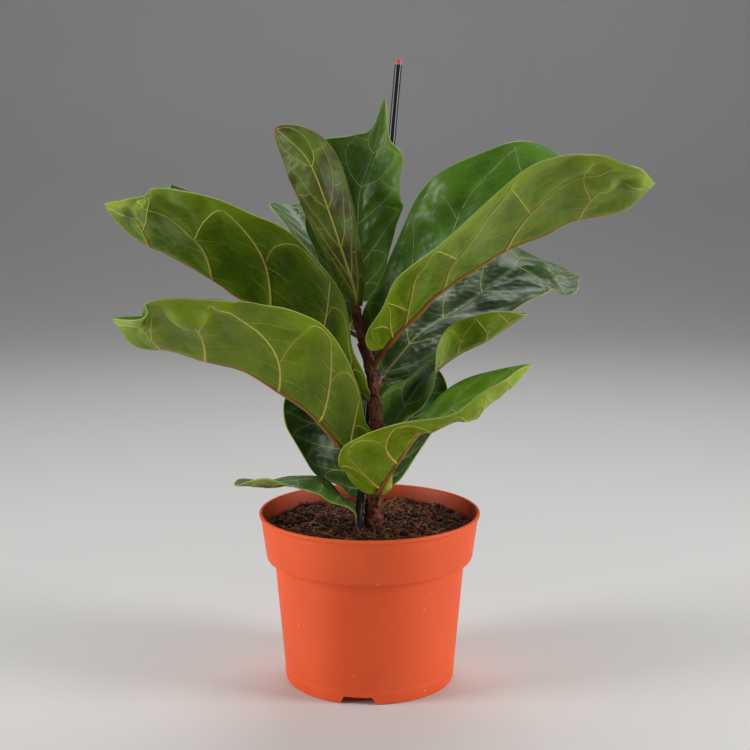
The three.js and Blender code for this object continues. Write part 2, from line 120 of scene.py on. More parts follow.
def unit(vectors, least=0.0):
    """Each vector divided by its length. A small least keeps a vector of no length at zero."""
    return vectors / (np.linalg.norm(vectors, axis=-1, keepdims=True) + least)


def circle(sides):
    """Evenly spaced angles round a full turn."""
    return np.linspace(0, 2 * np.pi, sides, endpoint=False)


def fan(hub, first, sides, down=False):
    """Triangles from a hub point to each side of a ring of points, which are numbered from first."""
    ends = [first + np.arange(sides), first + (np.arange(sides) + 1) % sides]
    return np.stack([np.full(sides, hub), *(ends[::-1] if down else ends)], -1)


def turned(profile, sides):
    """Surface of revolution: each (radius, height) of the profile swept round the Z axis. The ends on the
    axis become poles."""
    profile = np.asarray(profile, float)
    body = profile[1:-1]
    points = np.vstack([polar(body[:, :1], circle(sides), body[:, 1:]).reshape(-1, 3),
                        [[0, 0, profile[0, 1]], [0, 0, profile[-1, 1]]]])
    n, count = len(body), len(points)
    return points, [grid_quads(n, sides, True), fan(count - 2, 0, sides, down=True),
                    fan(count - 1, (n - 1) * sides, sides)]


def groove_bar(wider, low, start, reach, turn):
    """A radial bar of trapezoid section that is wider all round than the groove and starts at height low.
    Its outer end follows a circle: far is the root of reach squared less the distance across squared."""
    foot, top, high = groove_foot / 2 + wider, groove_top / 2 + wider, groove_height + wider
    section = np.array([[-foot, low], [foot, low], [top, high], [-top, high]])
    far = np.sqrt(reach ** 2 - section[:, 0] ** 2)
    points = np.stack(np.broadcast_arrays(np.stack([np.full(4, start), far]), *section.T), -1)
    c, s = math.cos(turn), math.sin(turn)
    points = points.reshape(-1, 3) @ np.array([[c, s, 0], [-s, c, 0], [0, 0, 1]])
    return points, [grid_quads(2, 4, True), np.array([[3, 2, 1, 0], [4, 5, 6, 7]])]


def shader(name):
    """A material with its node tree and its main shader node."""
    material = bpy.data.materials.new(name)
    material.use_nodes = True
    return material, material.node_tree, material.node_tree.nodes["Principled BSDF"]


def add(tree, kind, **inputs):
    """Adds a node. An input is set to a value, or linked when it is another node's output. A name that
    starts with an underscore is a property of the node itself. i0, i1 and so on are inputs by number."""
    node = tree.nodes.new("ShaderNode" + kind)
    for key in sorted(inputs, key=lambda name: name[0] != "_"):
        value = inputs[key]
        if key[0] == "_":
            setattr(node, key[1:], value)
            continue
        socket = node.inputs[int(key[1:]) if key[1:].isdigit() else key]
        if isinstance(value, bpy.types.NodeSocket):
            tree.links.new(value, socket)
        else:
            socket.default_value = value
    return node


def own_place(tree):
    """The piece's own coordinates, in metres."""
    return add(tree, "TexCoord").outputs["Object"]


def attribute(tree, name):
    """A number that the mesh carries at each point."""
    return add(tree, "Attribute", _attribute_name=name).outputs["Fac"]


def painted(tree, main, tint, roughness, specular=None):
    """Sets the colour and the roughness, and where it is given, the specular level."""
    tree.links.new(tint, main.inputs["Base Color"])
    if isinstance(roughness, float):
        main.inputs["Roughness"].default_value = roughness
    else:
        tree.links.new(roughness, main.inputs["Roughness"])
    if specular is not None:
        main.inputs["Specular IOR Level"].default_value = specular


def mixed(tree, share, first, second):
    """Colour that runs from first to second as share goes from 0 to 1."""
    def colour(c):
        return c if isinstance(c, bpy.types.NodeSocket) else (*c, 1)
    return add(tree, "Mix", _data_type="RGBA", i0=share, i6=colour(first), i7=colour(second)).outputs[2]


def times(tree, first, second):
    """The product of two numbers."""
    return add(tree, "Math", _operation="MULTIPLY", i0=first, i1=second).outputs[0]


def spread(tree, value, low, high, start=0.0, end=1.0):
    """Stretches value so that low becomes start and high becomes end, and holds it between them."""
    node = add(tree, "MapRange", Value=value)
    for key, number in zip((1, 2, 3, 4), (low, high, start, end)):
        node.inputs[key].default_value = number
    return node.outputs[0]


def noise(tree, where, scale, detail=4.0, rough=0.55):
    """Cloudy noise, 0 to 1, of a given number of blobs per metre."""
    return add(tree, "TexNoise", Vector=where, Scale=scale, Detail=detail, Roughness=rough).outputs["Fac"]


def bumped(tree, main, height, strength, distance, below=None):
    """Feeds a height into the shader's normal. distance is the height's real size in metres."""
    node = add(tree, "Bump", Strength=strength, Distance=distance, Height=height)
    if below is not None:
        tree.links.new(below, node.inputs["Normal"])
    tree.links.new(node.outputs[0], main.inputs["Normal"])
    return node.outputs[0]


pot_plastic, tree, main = shader("matt_terracotta_plastic")
place = own_place(tree)
cloud = noise(tree, place, 22, 5)
speck = noise(tree, place, 900, 2)
tint = mixed(tree, spread(tree, cloud, 0.3, 0.7), (0.78, 0.088, 0.017), (0.86, 0.113, 0.025))
tint = mixed(tree, spread(tree, speck, 0.62, 0.75, 0, 0.25), tint, (0.88, 0.22, 0.08))
dust = spread(tree, noise(tree, place, 60, 6, 0.7), 0.55, 0.8, 0, 0.08)
tint = mixed(tree, dust, tint, (0.62, 0.36, 0.24))
flecks = spread(tree, noise(tree, place, 330, 2), 0.73, 0.77, 0, 0.6)
tint = mixed(tree, flecks, tint, (0.90, 0.42, 0.28))
slope = (rim_radius - 0.8 - collar_radius) / (pot_height - 1.8 - collar_height)
taper = (shoulder_radius - base_radius) / shoulder_height

# Painted shade darkens the inner face of the collar, most of all just above the peat.
tall = add(tree, "SeparateXYZ", Vector=place).outputs["Z"]
across = add(tree, "VectorMath", _operation="LENGTH",
             Vector=add(tree, "Mapping", Vector=place, Scale=(1, 1, 0)).outputs[0]).outputs["Value"]
lean = add(tree, "Math", _operation="SUBTRACT", i0=across, i1=times(tree, tall, slope)).outputs[0]
mid_wall = (collar_radius - slope * collar_height - wall / 2) * MM
inner_face = spread(tree, lean, mid_wall - 0.0001, mid_wall + 0.0001, 1, 0)
high_up = spread(tree, tall, 0.070, 0.078, 0, 1)
painted_shade_fade = spread(tree, tall, 0.085, 0.0915, 0.75, 0.40)
tint = mixed(tree, times(tree, times(tree, inner_face, high_up), painted_shade_fade), tint, (0.14, 0.022, 0.008))
painted(tree, main, tint, spread(tree, cloud, 0.3, 0.7, 0.46, 0.58), 0.32)
bumped(tree, main, speck, 0.25, 0.0002)


def inside_collar(z):
    return collar_radius + slope * (z - collar_height) - wall


def inside_body(z):
    return base_radius + taper * z - wall


outside = softened([
    (0, 0), (base_radius - 0.3, 0), (base_radius + 0.15, 1.6), (base_radius + taper * 6.6 + 0.12, 6.6),
    (base_radius + taper * 7.2 - 0.12, 7.2), (shoulder_radius, shoulder_height - 0.6),
    (shoulder_radius + 0.4, shoulder_height + 1.4), (collar_radius - 0.6, collar_height - 1.7),
    (collar_radius, collar_height + 0.4), (rim_radius - 0.9, pot_height - 2.4),
    (rim_radius, pot_height - 1.9), (rim_radius + 0.05, pot_height), (rim_radius - 1.7, pot_height),
    (rim_radius - 1.8, pot_height - 1.2), (inside_collar(pot_height - 2.2), pot_height - 2.2),
    (inside_collar(collar_height + 1.5), collar_height + 1.5),
    (inside_body(shoulder_height) + 0.3, shoulder_height + 1.2),
    (inside_body(shoulder_height - 3), shoulder_height - 3),
    (inside_body(3.2), 3.2), (inside_body(2) - 1.2, 2), (0, 2),
], 0.8)
points, faces = turned(outside, 256)
pot = new_piece("nursery_pot", points, faces, [pot_plastic])
turns = [math.radians(first_groove + 120 * k) for k in range(3)]
tools = []
# A bar in each groove's place leaves its roof and sides when a smaller bar is cut out of it. Each bar is
# given by how much wider it is than the groove, its lowest height, its inner end and its reach.
for action, *sizes in (("UNION", 1.4, 0.6, 24.6, 45.7), ("DIFFERENCE", 0, -1, 26.0, 56.0)):
    for k, turn in enumerate(turns):
        points, faces = groove_bar(*sizes, turn)
        tools.append((action, new_piece(f"tool_{action}_{k}", points, faces, [pot_plastic])))
for turn in turns:
    for k, (r, aside) in enumerate(drain_holes):
        points, faces = turned([(0, -2), (drain_radius, -2), (drain_radius, 14), (0, 14)], 24)
        c, s = math.cos(turn), math.sin(turn)
        points += (r * c - aside * s, r * s + aside * c, 0)
        tools.append(("DIFFERENCE", new_piece(f"tool_drill_{k}_{turn:.0f}", points, faces, [pot_plastic])))
for action, tool in tools:
    cut = pot.modifiers.new(tool.name, "BOOLEAN")
    cut.operation, cut.solver, cut.object = action, "EXACT", tool
shaped = bpy.data.meshes.new_from_object(pot.evaluated_get(bpy.context.evaluated_depsgraph_get()))
pot.modifiers.clear()
pot.data = shaped
for action, tool in tools:
    bpy.data.objects.remove(tool)
shaped.shade_smooth()
shaped.set_sharp_from_angle(angle=math.radians(35))
stands_for(pot, "pot_plastic", "pot")

# ---- Soil ----
# Dark peat with coir fibre, pressed round the roots and ending 8 mm below the rim. Its surface is a loose
# crumb of lumps with tan rootlets and reddish fibres lying on it.
soil_top, soil_mound = 85.0, 1.2
random = np.random.default_rng(7)


def ripple(p, wavelength, waves=14, seed=1):
    """Smooth random field of about -1 to 1: the mean of plane waves with random directions and phases
    and the given wavelength in mm."""
    chance = np.random.default_rng(seed)
    heading = unit(chance.normal(size=(waves, p.shape[-1])))
    phase = chance.uniform(0, 2 * np.pi, waves)
    length = wavelength * chance.uniform(0.7, 1.4, waves)
    angle = np.tensordot(p, heading.T, 1) * (2 * np.pi / length) + phase
    return np.sin(angle).sum(-1) / math.sqrt(waves)


def crumb(x, y):
    """Height of the peat's surface: a low mound that dips at the wall, with ripples of three sizes."""
    r = np.hypot(x, y)
    flat = np.stack([x, y], -1)
    rough = ripple(flat, 21, seed=3) + ripple(flat, 8, seed=4) + 0.6 * np.abs(ripple(flat, 3.2, seed=5))
    return soil_top + soil_mound * np.cos(np.clip(r / 56, 0, 1) * np.pi / 2) - 1.2 + 0.75 * rough


peat, tree, main = shader("moist_peat")
place = own_place(tree)
grain = noise(tree, place, 420, 8, 0.7)
patch = noise(tree, place, 60, 4)
tint = mixed(tree, spread(tree, grain, 0.35, 0.7), (0.008, 0.003, 0.002), (0.070, 0.020, 0.008))
tint = mixed(tree, spread(tree, patch, 0.5, 0.7, 0, 0.5), tint, (0.15, 0.046, 0.018))
painted(tree, main, tint, 0.88, 0.2)
bumped(tree, main, grain, 0.9, 0.0012)

rings, sides = 90, 260
edge_radius = inside_collar(soil_top) - 0.25
r = edge_radius * np.linspace(0, 1, rings)[1:] ** 0.85
t = circle(sides)
top = polar(r[:, None], t, 0.0)
top[..., 2] = crumb(top[..., 0], top[..., 1])
skirt_radius = np.array([inside_collar(77), 50.0, inside_body(50) - 0.4, inside_body(8) - 0.4])
skirt_height = np.array([77.0, 67.0, 50.0, 8.0])
skirt = polar(skirt_radius[:, None], t, skirt_height[:, None])
points = np.vstack([top.reshape(-1, 3), skirt.reshape(-1, 3), [[0, 0, crumb(0.0, 0.0)], [0, 0, 8.0]]])
n, count = rings - 1 + len(skirt_radius), len(points)
faces = [grid_quads(n, sides, True)[:, ::-1], fan(count - 2, 0, sides),
         fan(count - 1, (n - 1) * sides, sides, down=True)]
stands_for(new_piece("peat_surface", points, faces, [peat]), "peat", "soil")


def repeated(faces, count, step):
    """The faces of count copies of a shape that has step points."""
    return (faces[None] + (np.arange(count) * step)[:, None, None]).reshape(-1, faces.shape[1])


def lumps(centres, sizes, seed, rows=6, columns=8):
    """Many rough lumps at once: each is a small globe whose radius swings with a few waves of latitude and
    longitude, squashed and turned at random."""
    chance = np.random.default_rng(seed)
    count = len(centres)
    lat = np.linspace(0, np.pi, rows)[:, None]
    ball = polar(np.sin(lat), circle(columns), np.cos(lat))
    swing = 1 + 0.35 * chance.uniform(-1, 1, (count, rows, columns)) * np.sin(lat)
    squash = chance.uniform(0.45, 1.2, (count, 1, 1, 3))
    spin = np.linalg.qr(chance.normal(size=(count, 3, 3)))[0]
    shape = ball[None] * swing[..., None] * squash * sizes[:, None, None, None]
    shape = np.einsum("nabi,nij->nabj", shape, spin) + centres[:, None, None, :]
    quads = repeated(grid_quads(rows, columns, True), count, rows * columns)
    inside_out = np.repeat(np.linalg.det(spin) < 0, len(quads) // count)[:, None]
    return shape.reshape(-1, 3), [np.where(inside_out, quads, quads[:, ::-1])]


def scattered(count, limit, seed):
    """Random places on the peat, evenly over its area."""
    chance = np.random.default_rng(seed)
    radius = limit * np.sqrt(chance.uniform(0.0, 1, count))
    angle = chance.uniform(0, 2 * np.pi, count)
    places = polar(radius, angle, 0.0)
    places[:, 2] = crumb(places[:, 0], places[:, 1])
    return places


chips, tree, main = shader("peat_crumbs")
place = own_place(tree)
each = attribute(tree, "shade")
tint = mixed(tree, each, (0.010, 0.0035, 0.002), (0.19, 0.046, 0.016))
tint = mixed(tree, spread(tree, noise(tree, place, 900, 4), 0.4, 0.7, 0, 0.6), tint, (0.025, 0.009, 0.005))
painted(tree, main, tint, 0.8, 0.3)
bumped(tree, main, noise(tree, place, 1500, 4), 0.6, 0.0005)
spots = scattered(2400, 55.0, 11)
sizes = 0.35 + 2.1 * random.uniform(0, 1, len(spots)) ** 3.2
spots[:, 2] += sizes * 0.25
points, faces = lumps(spots, sizes, 12)
shade = np.repeat(random.uniform(0, 1, len(spots)) ** 2.2, len(points) // len(spots))
stands_for(new_piece("peat_crumbs", points, faces, [chips], values={"shade": shade}), "peat", "soil")


def ringed(centre, along, guide, radii, sides):
    """A ring of points round each centre, square to its direction along, starting square to the guide."""
    across = unit(np.cross(along, guide), 1e-12)
    other, ring = np.cross(along, across), circle(sides)[:, None]
    return centre[..., None, :] + radii * (np.cos(ring) * across[..., None, :]
                                           + np.sin(ring) * other[..., None, :])


def rod_faces(steps, sides):
    """Faces of a rod of rings stored one after the other, with a flat cap on each end."""
    caps = np.stack([np.arange(sides), (steps - 1) * sides + np.arange(sides)[::-1]])
    return [grid_quads(steps, sides, True)[:, ::-1], caps]


def threads(paths, radii, sides=4):
    """Many thin round threads at once. paths holds (thread, point, xyz)."""
    count, steps = paths.shape[:2]
    along = unit(np.gradient(paths, axis=1), 1e-12)
    guide = np.where(np.abs(along[..., 2:]) > 0.9, [1.0, 0, 0], [0, 0, 1.0])
    rings = ringed(paths, along, guide, np.broadcast_to(radii, (count, steps))[..., None, None], sides)
    return rings.reshape(-1, 3), [repeated(f, count, steps * sides) for f in rod_faces(steps, sides)]


def fibres(count, length, seed, lift):
    """Curly fibres lying on the peat: each walks from a random place with a slowly turning heading."""
    chance = np.random.default_rng(seed)
    steps = 11
    start = scattered(count, 52.0, seed + 1)
    heading = chance.uniform(0, 2 * np.pi, (count, 1)) + np.cumsum(
        chance.normal(0, 0.28, (count, steps)) + chance.normal(0, 0.12, (count, 1)), 1)
    stride = (length * chance.uniform(0.4, 1.5, (count, 1))) / steps
    x = start[:, :1] + np.cumsum(np.cos(heading) * stride, 1)
    y = start[:, 1:2] + np.cumsum(np.sin(heading) * stride, 1)
    limit = np.minimum(1, 54.5 / np.maximum(np.hypot(x, y), 1e-6))
    x, y = x * limit, y * limit
    arch = np.sin(np.linspace(0, np.pi, steps)) * chance.uniform(0, lift, (count, 1))
    return np.stack([x, y, crumb(x, y) + 0.25 + arch], -1)


coir, tree, main = shader("coir_fibre")
each = attribute(tree, "shade")
tint = mixed(tree, each, (0.15, 0.036, 0.012), (0.50, 0.25, 0.10))
painted(tree, main, tint, 0.75)
paths = np.concatenate([fibres(620, 9, 21, 1.8), fibres(200, 20, 31, 3.2)])
thickness = np.random.default_rng(5).uniform(0.07, 0.2, (len(paths), 1))
thickness = thickness * np.sin(np.linspace(0.25, np.pi - 0.25, 11))
points, faces = threads(paths, thickness)
shade = np.repeat(np.random.default_rng(6).uniform(0, 1, len(paths)) ** 1.4, len(points) // len(paths))
stands_for(new_piece("coir_and_rootlets", points, faces, [coir], values={"shade": shade}), "peat", "soil")

# ---- Stem ----
# A young woody stem, 8 mm thick at the soil and 4 mm at its tip, that leans to the left as it rises.
# Its bark is thin, reddish brown and flaky, swollen a little at each leaf's node.
stem_path = [(2, -7, 0), (3.4, -8, 30), (3.4, -8, 60), (1, -3.5, 85), (-3, -1, 102), (-8, 0, 121)]
foot_radius, tip_radius = 3.7, 1.9
node_heights = (6, 12, 15, 19, 33, 45, 71, 77, 87, 103, 118)


def course(points, steps=40):
    """Smooth curve through the points (centripetal Catmull-Rom), as a dense polyline and the running
    length at each of its points."""
    p = np.asarray(points, float)
    p = np.vstack([2 * p[0] - p[1], p, 2 * p[-1] - p[-2]])
    out = []
    for p0, p1, p2, p3 in zip(p[:-3], p[1:-2], p[2:-1], p[3:]):
        t1 = np.linalg.norm(p1 - p0) ** 0.5
        t2 = t1 + np.linalg.norm(p2 - p1) ** 0.5
        t3 = t2 + np.linalg.norm(p3 - p2) ** 0.5
        t = np.linspace(t1, t2, steps, endpoint=False)[:, None]
        a1, a2 = (t1 - t) / t1 * p0 + t / t1 * p1, (t2 - t) / (t2 - t1) * p1 + (t - t1) / (t2 - t1) * p2
        a3 = (t3 - t) / (t3 - t2) * p2 + (t - t2) / (t3 - t2) * p3
        b1, b2 = (t2 - t) / t2 * a1 + t / t2 * a2, (t3 - t) / (t3 - t1) * a2 + (t - t1) / (t3 - t1) * a3
        out.append((t2 - t) / (t2 - t1) * b1 + (t - t1) / (t2 - t1) * b2)
    line = np.vstack(out + [p[-2:-1]])
    return line, np.concatenate([[0], np.cumsum(np.linalg.norm(np.diff(line, axis=0), axis=1))])


def at(curve, where):
    """Points of a curve at the given running lengths."""
    line, length = curve
    return np.stack([np.interp(where, length, line[:, k]) for k in range(3)], -1)


def heading(curve, where, reach=1.5):
    """Unit direction of a curve at the given running lengths."""
    ahead = at(curve, np.minimum(where + reach, curve[1][-1]))
    return unit(ahead - at(curve, np.maximum(where - reach, 0)))


stem_curve = course([(2, -7, soil_top - 12)] + [(x, y, soil_top + z) for x, y, z in stem_path])


def stem_axis(z):
    """Centre of the stem at a height."""
    x, y, rise = stem_curve[0].T
    return np.stack([np.interp(z, rise, x), np.interp(z, rise, y), z], -1)


def stem_radius(z):
    """Smooth radius of the stem: a taper, a flare at the soil and a small swelling at each node."""
    h = np.maximum(0, (z - soil_top) / stem_path[-1][2])
    swell = np.max([np.exp(-((z - soil_top - node) / 2.5) ** 2) for node in node_heights], 0)
    return foot_radius + (tip_radius - foot_radius) * h ** 1.6 + 1.2 * np.exp(-14 * h) + 0.5 * swell


def rod(curve, lengths, radii, sides):
    """Points and faces of a round rod along a curve. radii has one column, or one for each side."""
    rings = ringed(at(curve, lengths), heading(curve, lengths), (0, 1.0, 0), radii[..., None], sides)
    return rings.reshape(-1, 3), rod_faces(len(lengths), sides)


def band(rim, count):
    """Quads that join the rims of two layers of count points."""
    after = np.roll(rim, -1)
    return np.stack([rim, after, after + count, rim + count], -1)


def closed_sheet(rows, columns):
    """Faces of a thin plate whose two layers of points are stored one after the other: the layers face
    apart, and a band of quads joins their rims."""
    count = rows * columns
    index = np.arange(count).reshape(rows, columns)
    rim = np.concatenate([index[0], index[1:, -1], index[-1, -2::-1], index[-2:0:-1, 0]])
    return np.concatenate([grid_quads(rows, columns)[:, ::-1], grid_quads(rows, columns, first=count),
                           band(rim, count)])


bark, tree, main = shader("flaky_bark")
place = own_place(tree)
stretched = add(tree, "Mapping", Vector=place, Scale=(1, 1, 0.28)).outputs[0]
streak = noise(tree, stretched, 900, 6, 0.65)
blotch = noise(tree, place, 140, 4)
tint = mixed(tree, spread(tree, blotch, 0.35, 0.65), (0.085, 0.020, 0.010), (0.32, 0.075, 0.030))
tint = mixed(tree, spread(tree, streak, 0.54, 0.70, 0, 0.65), tint, (0.48, 0.22, 0.11))
tint = mixed(tree, spread(tree, streak, 0.30, 0.42, 0.8, 0), tint, (0.030, 0.012, 0.008))
painted(tree, main, tint, 0.72)
bumped(tree, main, streak, 0.8, 0.0006)

steps, sides = 260, 64
lengths = np.linspace(0, stem_curve[1][-1], steps)
wrap = polar(6, circle(sides), lengths[:, None] * 0.35)
plates = np.abs(ripple(wrap, 3.4, seed=41))
bark_relief = 0.48 * np.minimum(plates, 0.9) + 0.2 * ripple(wrap * [1, 1, 3], 2.2, seed=42)
radii = stem_radius(at(stem_curve, lengths)[:, 2:]) + bark_relief - 0.15
points, faces = rod(stem_curve, lengths, radii, sides)
stands_for(new_piece("woody_stem", points, faces, [bark]), "bark", "stem")

# Loose flakes of outer bark stand off the lower stem: thin curved chips, curled out at one end.
count = 210
z = soil_top + 3 + 108 * random.uniform(0, 1, count) ** 1.5
angle = random.uniform(0, 2 * np.pi, count)
tall, wide = random.uniform(1.6, 5.5, count), random.uniform(12, 30, count)
rows, columns = 6, 5
p, q = np.linspace(-0.5, 0.5, rows)[:, None], np.linspace(-1, 1, columns)
height = z[:, None, None] + tall[:, None, None] * p
turn = angle[:, None, None] + np.radians(wide[:, None, None]) * q * (1 - 1.2 * p ** 2)
curl = 0.35 + random.uniform(0.2, 1.3, count)[:, None, None] * (p + 0.5) ** 2 + 0.2 * q ** 2
layers = []
for thick in (0.0, 0.16):
    radius = stem_radius(height) + curl * 0.75 + thick - 0.2
    layers.append(stem_axis(np.broadcast_to(height, radius.shape)) + polar(radius, turn, 0.0))
points = np.stack(layers, 1).reshape(-1, 3)
faces = repeated(closed_sheet(rows, columns), count, 2 * rows * columns)
stands_for(new_piece("bark_flakes", points, [faces], [bark]), "bark", "stem")

# ---- Stake ----
# A 4 mm support stick of black plastic with a hard gloss, pushed into the peat just left of the stem. Its
# top end is rounded and dipped in a dull red.
foot, tip = np.array([-6.5, -13, soil_top]), np.array([16, 37, soil_top + 250])
stake_radius, dip_radius, rounding, buried, plain, sides = 2.0, 2.04, 0.9, 20, 60, 40
whole = buried + np.linalg.norm(tip - foot)
stake_curve = np.array([foot - buried * unit(tip - foot), tip]), np.array([0, whole])
dome = np.linspace(0, np.pi / 2, 7)
lengths = np.concatenate([np.linspace(0, whole - 3.2, plain), [whole - 3.15, whole - 2.0],
                          whole - rounding + rounding * np.sin(dome)])
radii = np.concatenate([np.full(plain, stake_radius), [dip_radius] * 2,
                        dip_radius - rounding + rounding * np.cos(dome)])
radii[:plain] += 0.02 * np.sin(np.linspace(0, 40, plain))
points, faces = rod(stake_curve, lengths, radii[:, None], sides)
gloss, tree, main = shader("black_gloss_plastic")
place = own_place(tree)
smear = noise(tree, place, 70, 4)
painted(tree, main, mixed(tree, smear, (0.010, 0.010, 0.012), (0.022, 0.022, 0.026)),
        spread(tree, smear, 0.3, 0.7, 0.13, 0.26))
bumped(tree, main, noise(tree, place, 260, 3), 0.15, 0.0002)
red_end, tree, main = shader("dull_red_dip")
place = own_place(tree)
painted(tree, main, mixed(tree, noise(tree, place, 500, 3), (0.42, 0.06, 0.07), (0.60, 0.17, 0.16)), 0.45)
numbers = np.concatenate([np.repeat((np.arange(len(lengths) - 1) >= plain).astype(int), sides), [0, 1]])
stake = new_piece("support_stake", points, faces, [gloss, red_end], numbers=numbers, sharp=40)
stands_for(stake, "stake_plastic", "stake")

# ---- Leaves ----
# Twelve leathery fiddle-shaped leaves, each on its own petiole. The upper side is dark and waxy with thin
# pale veins, the underside is yellow-green with raised orange-brown midrib and cream laterals, and the
# blade is quilted between the veins. Every leaf folds and curls its own way.
outline = np.array([(0, 0), (-0.03, 0.2), (0.02, 0.42), (0.12, 0.52), (0.25, 0.6), (0.4, 0.76),
                    (0.56, 0.94), (0.7, 1), (0.83, 0.86), (0.93, 0.54), (0.98, 0.2), (1, 0)])
squash_across, thick = 0.4, 0.55
signs = {"left": -1, "right": 1}
fine = np.linspace(0, 1, 600)
# Each lateral vein: where it leaves the midrib, how far forward it sweeps, how far out it ends (as shares
# of the length and the half width), and the share of its own length where it forks.
common_veins = [(0.03, 0.07, 0.80, 0.6), (0.19, 0.15, 0.88, 0.55), (0.37, 0.21, 0.88, 0.5),
                (0.56, 0.20, 0.84, 0.5), (0.73, 0.14, 0.76, 0.5), (0.86, 0.07, 0.55, 0.6)]

